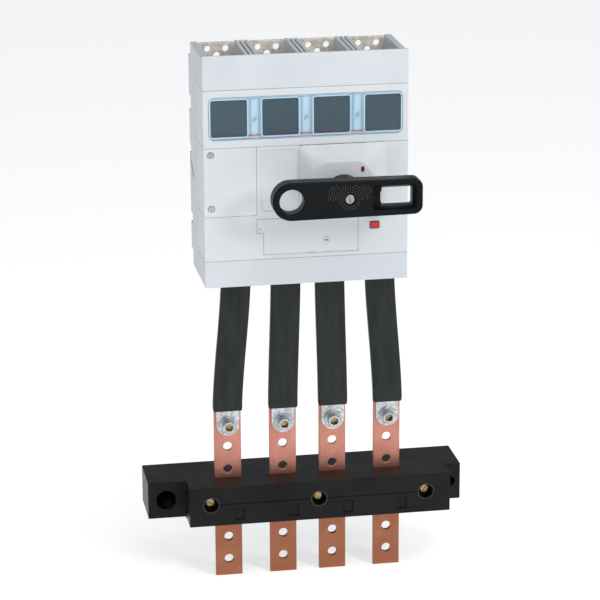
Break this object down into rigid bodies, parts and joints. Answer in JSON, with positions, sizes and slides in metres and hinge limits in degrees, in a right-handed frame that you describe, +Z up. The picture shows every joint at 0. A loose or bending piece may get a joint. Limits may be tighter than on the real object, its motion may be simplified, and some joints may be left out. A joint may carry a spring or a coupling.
{
  "type": "knife blade switch",
  "caption": "Panel switch with visible knife blades behind windows and a black rotary lever, on sleeved flexible bars with drilled copper busbars in a black clamp support.",
  "frame": {"origin": "centre of the switch's rear mounting face, on the panel's surface", "axes": "+X to the right seen from the front, +Y into the panel, +Z up"},
  "size_m": [0.452, 0.219, 0.764],
  "materials": {
    "case": "fine satin light grey moulding",
    "cover": "smooth satin pale grey moulding",
    "lens": "clear blue-tinted polycarbonate",
    "handle": "satin black moulding with dotted grip texture",
    "support": "black glass-filled moulding",
    "sleeve": "satin black sleeving",
    "red": "red moulding",
    "copper": "drawn electrolytic copper, slightly tarnished",
    "tin": "tinned copper with light stains",
    "contact": "silver-plated copper",
    "screw_steel": "zinc-plated steel",
    "zinc": "yellow-passivated zinc-plated steel",
    "sheet_steel": "plain sheet steel",
    "insulation": "brown phenolic moulding"
  },
  "bodies": {
    "housing": {"base_case": "case", "upper_terminal_cover": "case", "window_cover": "cover", "window_lens": "lens", "front_cover": "cover", "mechanism_cover": "cover", "left_side_cover": "cover", "lower_terminal_cover": "case", "mechanism_frame": "sheet_steel", "support_rear": "support", "support_front": "support", "cover_screw_1": "screw_steel", "cover_screw_2": "screw_steel", "clamp_screw_1": "zinc", "clamp_screw_2": "zinc", "clamp_screw_3": "zinc", "upper_terminal_1": "tin", "lower_terminal_1": "tin", "arc_chute_1": "sheet_steel", "flexible_bar_1": "tin", "insulating_sleeve_1": "sleeve", "busbar_1": "copper", "joint_bolt_1": "screw_steel", "upper_terminal_2": "tin", "lower_terminal_2": "tin", "arc_chute_2": "sheet_steel", "flexible_bar_2": "tin", "insulating_sleeve_2": "sleeve", "busbar_2": "copper", "joint_bolt_2": "screw_steel", "upper_terminal_3": "tin", "lower_terminal_3": "tin", "arc_chute_3": "sheet_steel", "flexible_bar_3": "tin", "insulating_sleeve_3": "sleeve", "busbar_3": "copper", "joint_bolt_3": "screw_steel", "upper_terminal_4": "tin", "lower_terminal_4": "tin", "arc_chute_4": "sheet_steel", "flexible_bar_4": "tin", "insulating_sleeve_4": "sleeve", "busbar_4": "copper", "joint_bolt_4": "screw_steel"},
    "handle": {"handle_lever": "handle", "handle_screw": "screw_steel", "handle_shaft": "screw_steel", "drive_pinion": "screw_steel", "position_flag": "red"},
    "rotor": {"crossbar": "insulation", "drive_sector": "screw_steel", "knife_blade_1": "contact", "knife_blade_2": "contact", "knife_blade_3": "contact", "knife_blade_4": "contact"},
    "rack": {"drive_rack": "screw_steel"},
    "padlock_slide": {"padlock_slide": "handle"},
    "door": {"accessory_door": "cover"},
    "door_lock": {"door_lock_screw": "cover"},
    "button": {"trip_button": "red"}
  },
  "joints": [
    {"name": "handle_turn", "type": "hinge", "parent": "housing", "child": "handle", "pos_m": [0.045, -0.2, -0.024], "axis": [0, 1, 0], "range_deg": [0, 90]},
    {"name": "rack_slide", "type": "slide", "parent": "housing", "child": "rack", "axis": [0, 0, 1], "range_m": [0, 0.01885]},
    {"name": "rotor_swing", "type": "hinge", "parent": "housing", "child": "rotor", "pos_m": [0, -0.05, -0.005], "axis": [1, 0, 0], "range_deg": [-45, 0]},
    {"name": "padlock_slide_out", "type": "slide", "parent": "handle", "child": "padlock_slide", "axis": [1, 0, 0], "range_m": [0, 0.01]},
    {"name": "door_open", "type": "hinge", "parent": "housing", "child": "door", "pos_m": [0.006, -0.1383, -0.0683], "axis": [-1, 0, 0], "range_deg": [0, 90]},
    {"name": "door_lock_turn", "type": "hinge", "parent": "door", "child": "door_lock", "pos_m": [0.027, -0.138, -0.1], "axis": [0, 1, 0], "range_deg": [0, 90]},
    {"name": "button_press", "type": "slide", "parent": "housing", "child": "button", "axis": [0, 1, 0], "range_m": [0, 0.003], "stiffness_N_per_m": 800, "springref_m": -0.001}
  ],
  "couplings": [
    {"joint": "rack_slide", "follows": "handle_turn", "m_per_rad": 0.012},
    {"joint": "rotor_swing", "follows": "handle_turn", "ratio": -0.5}
  ]
}
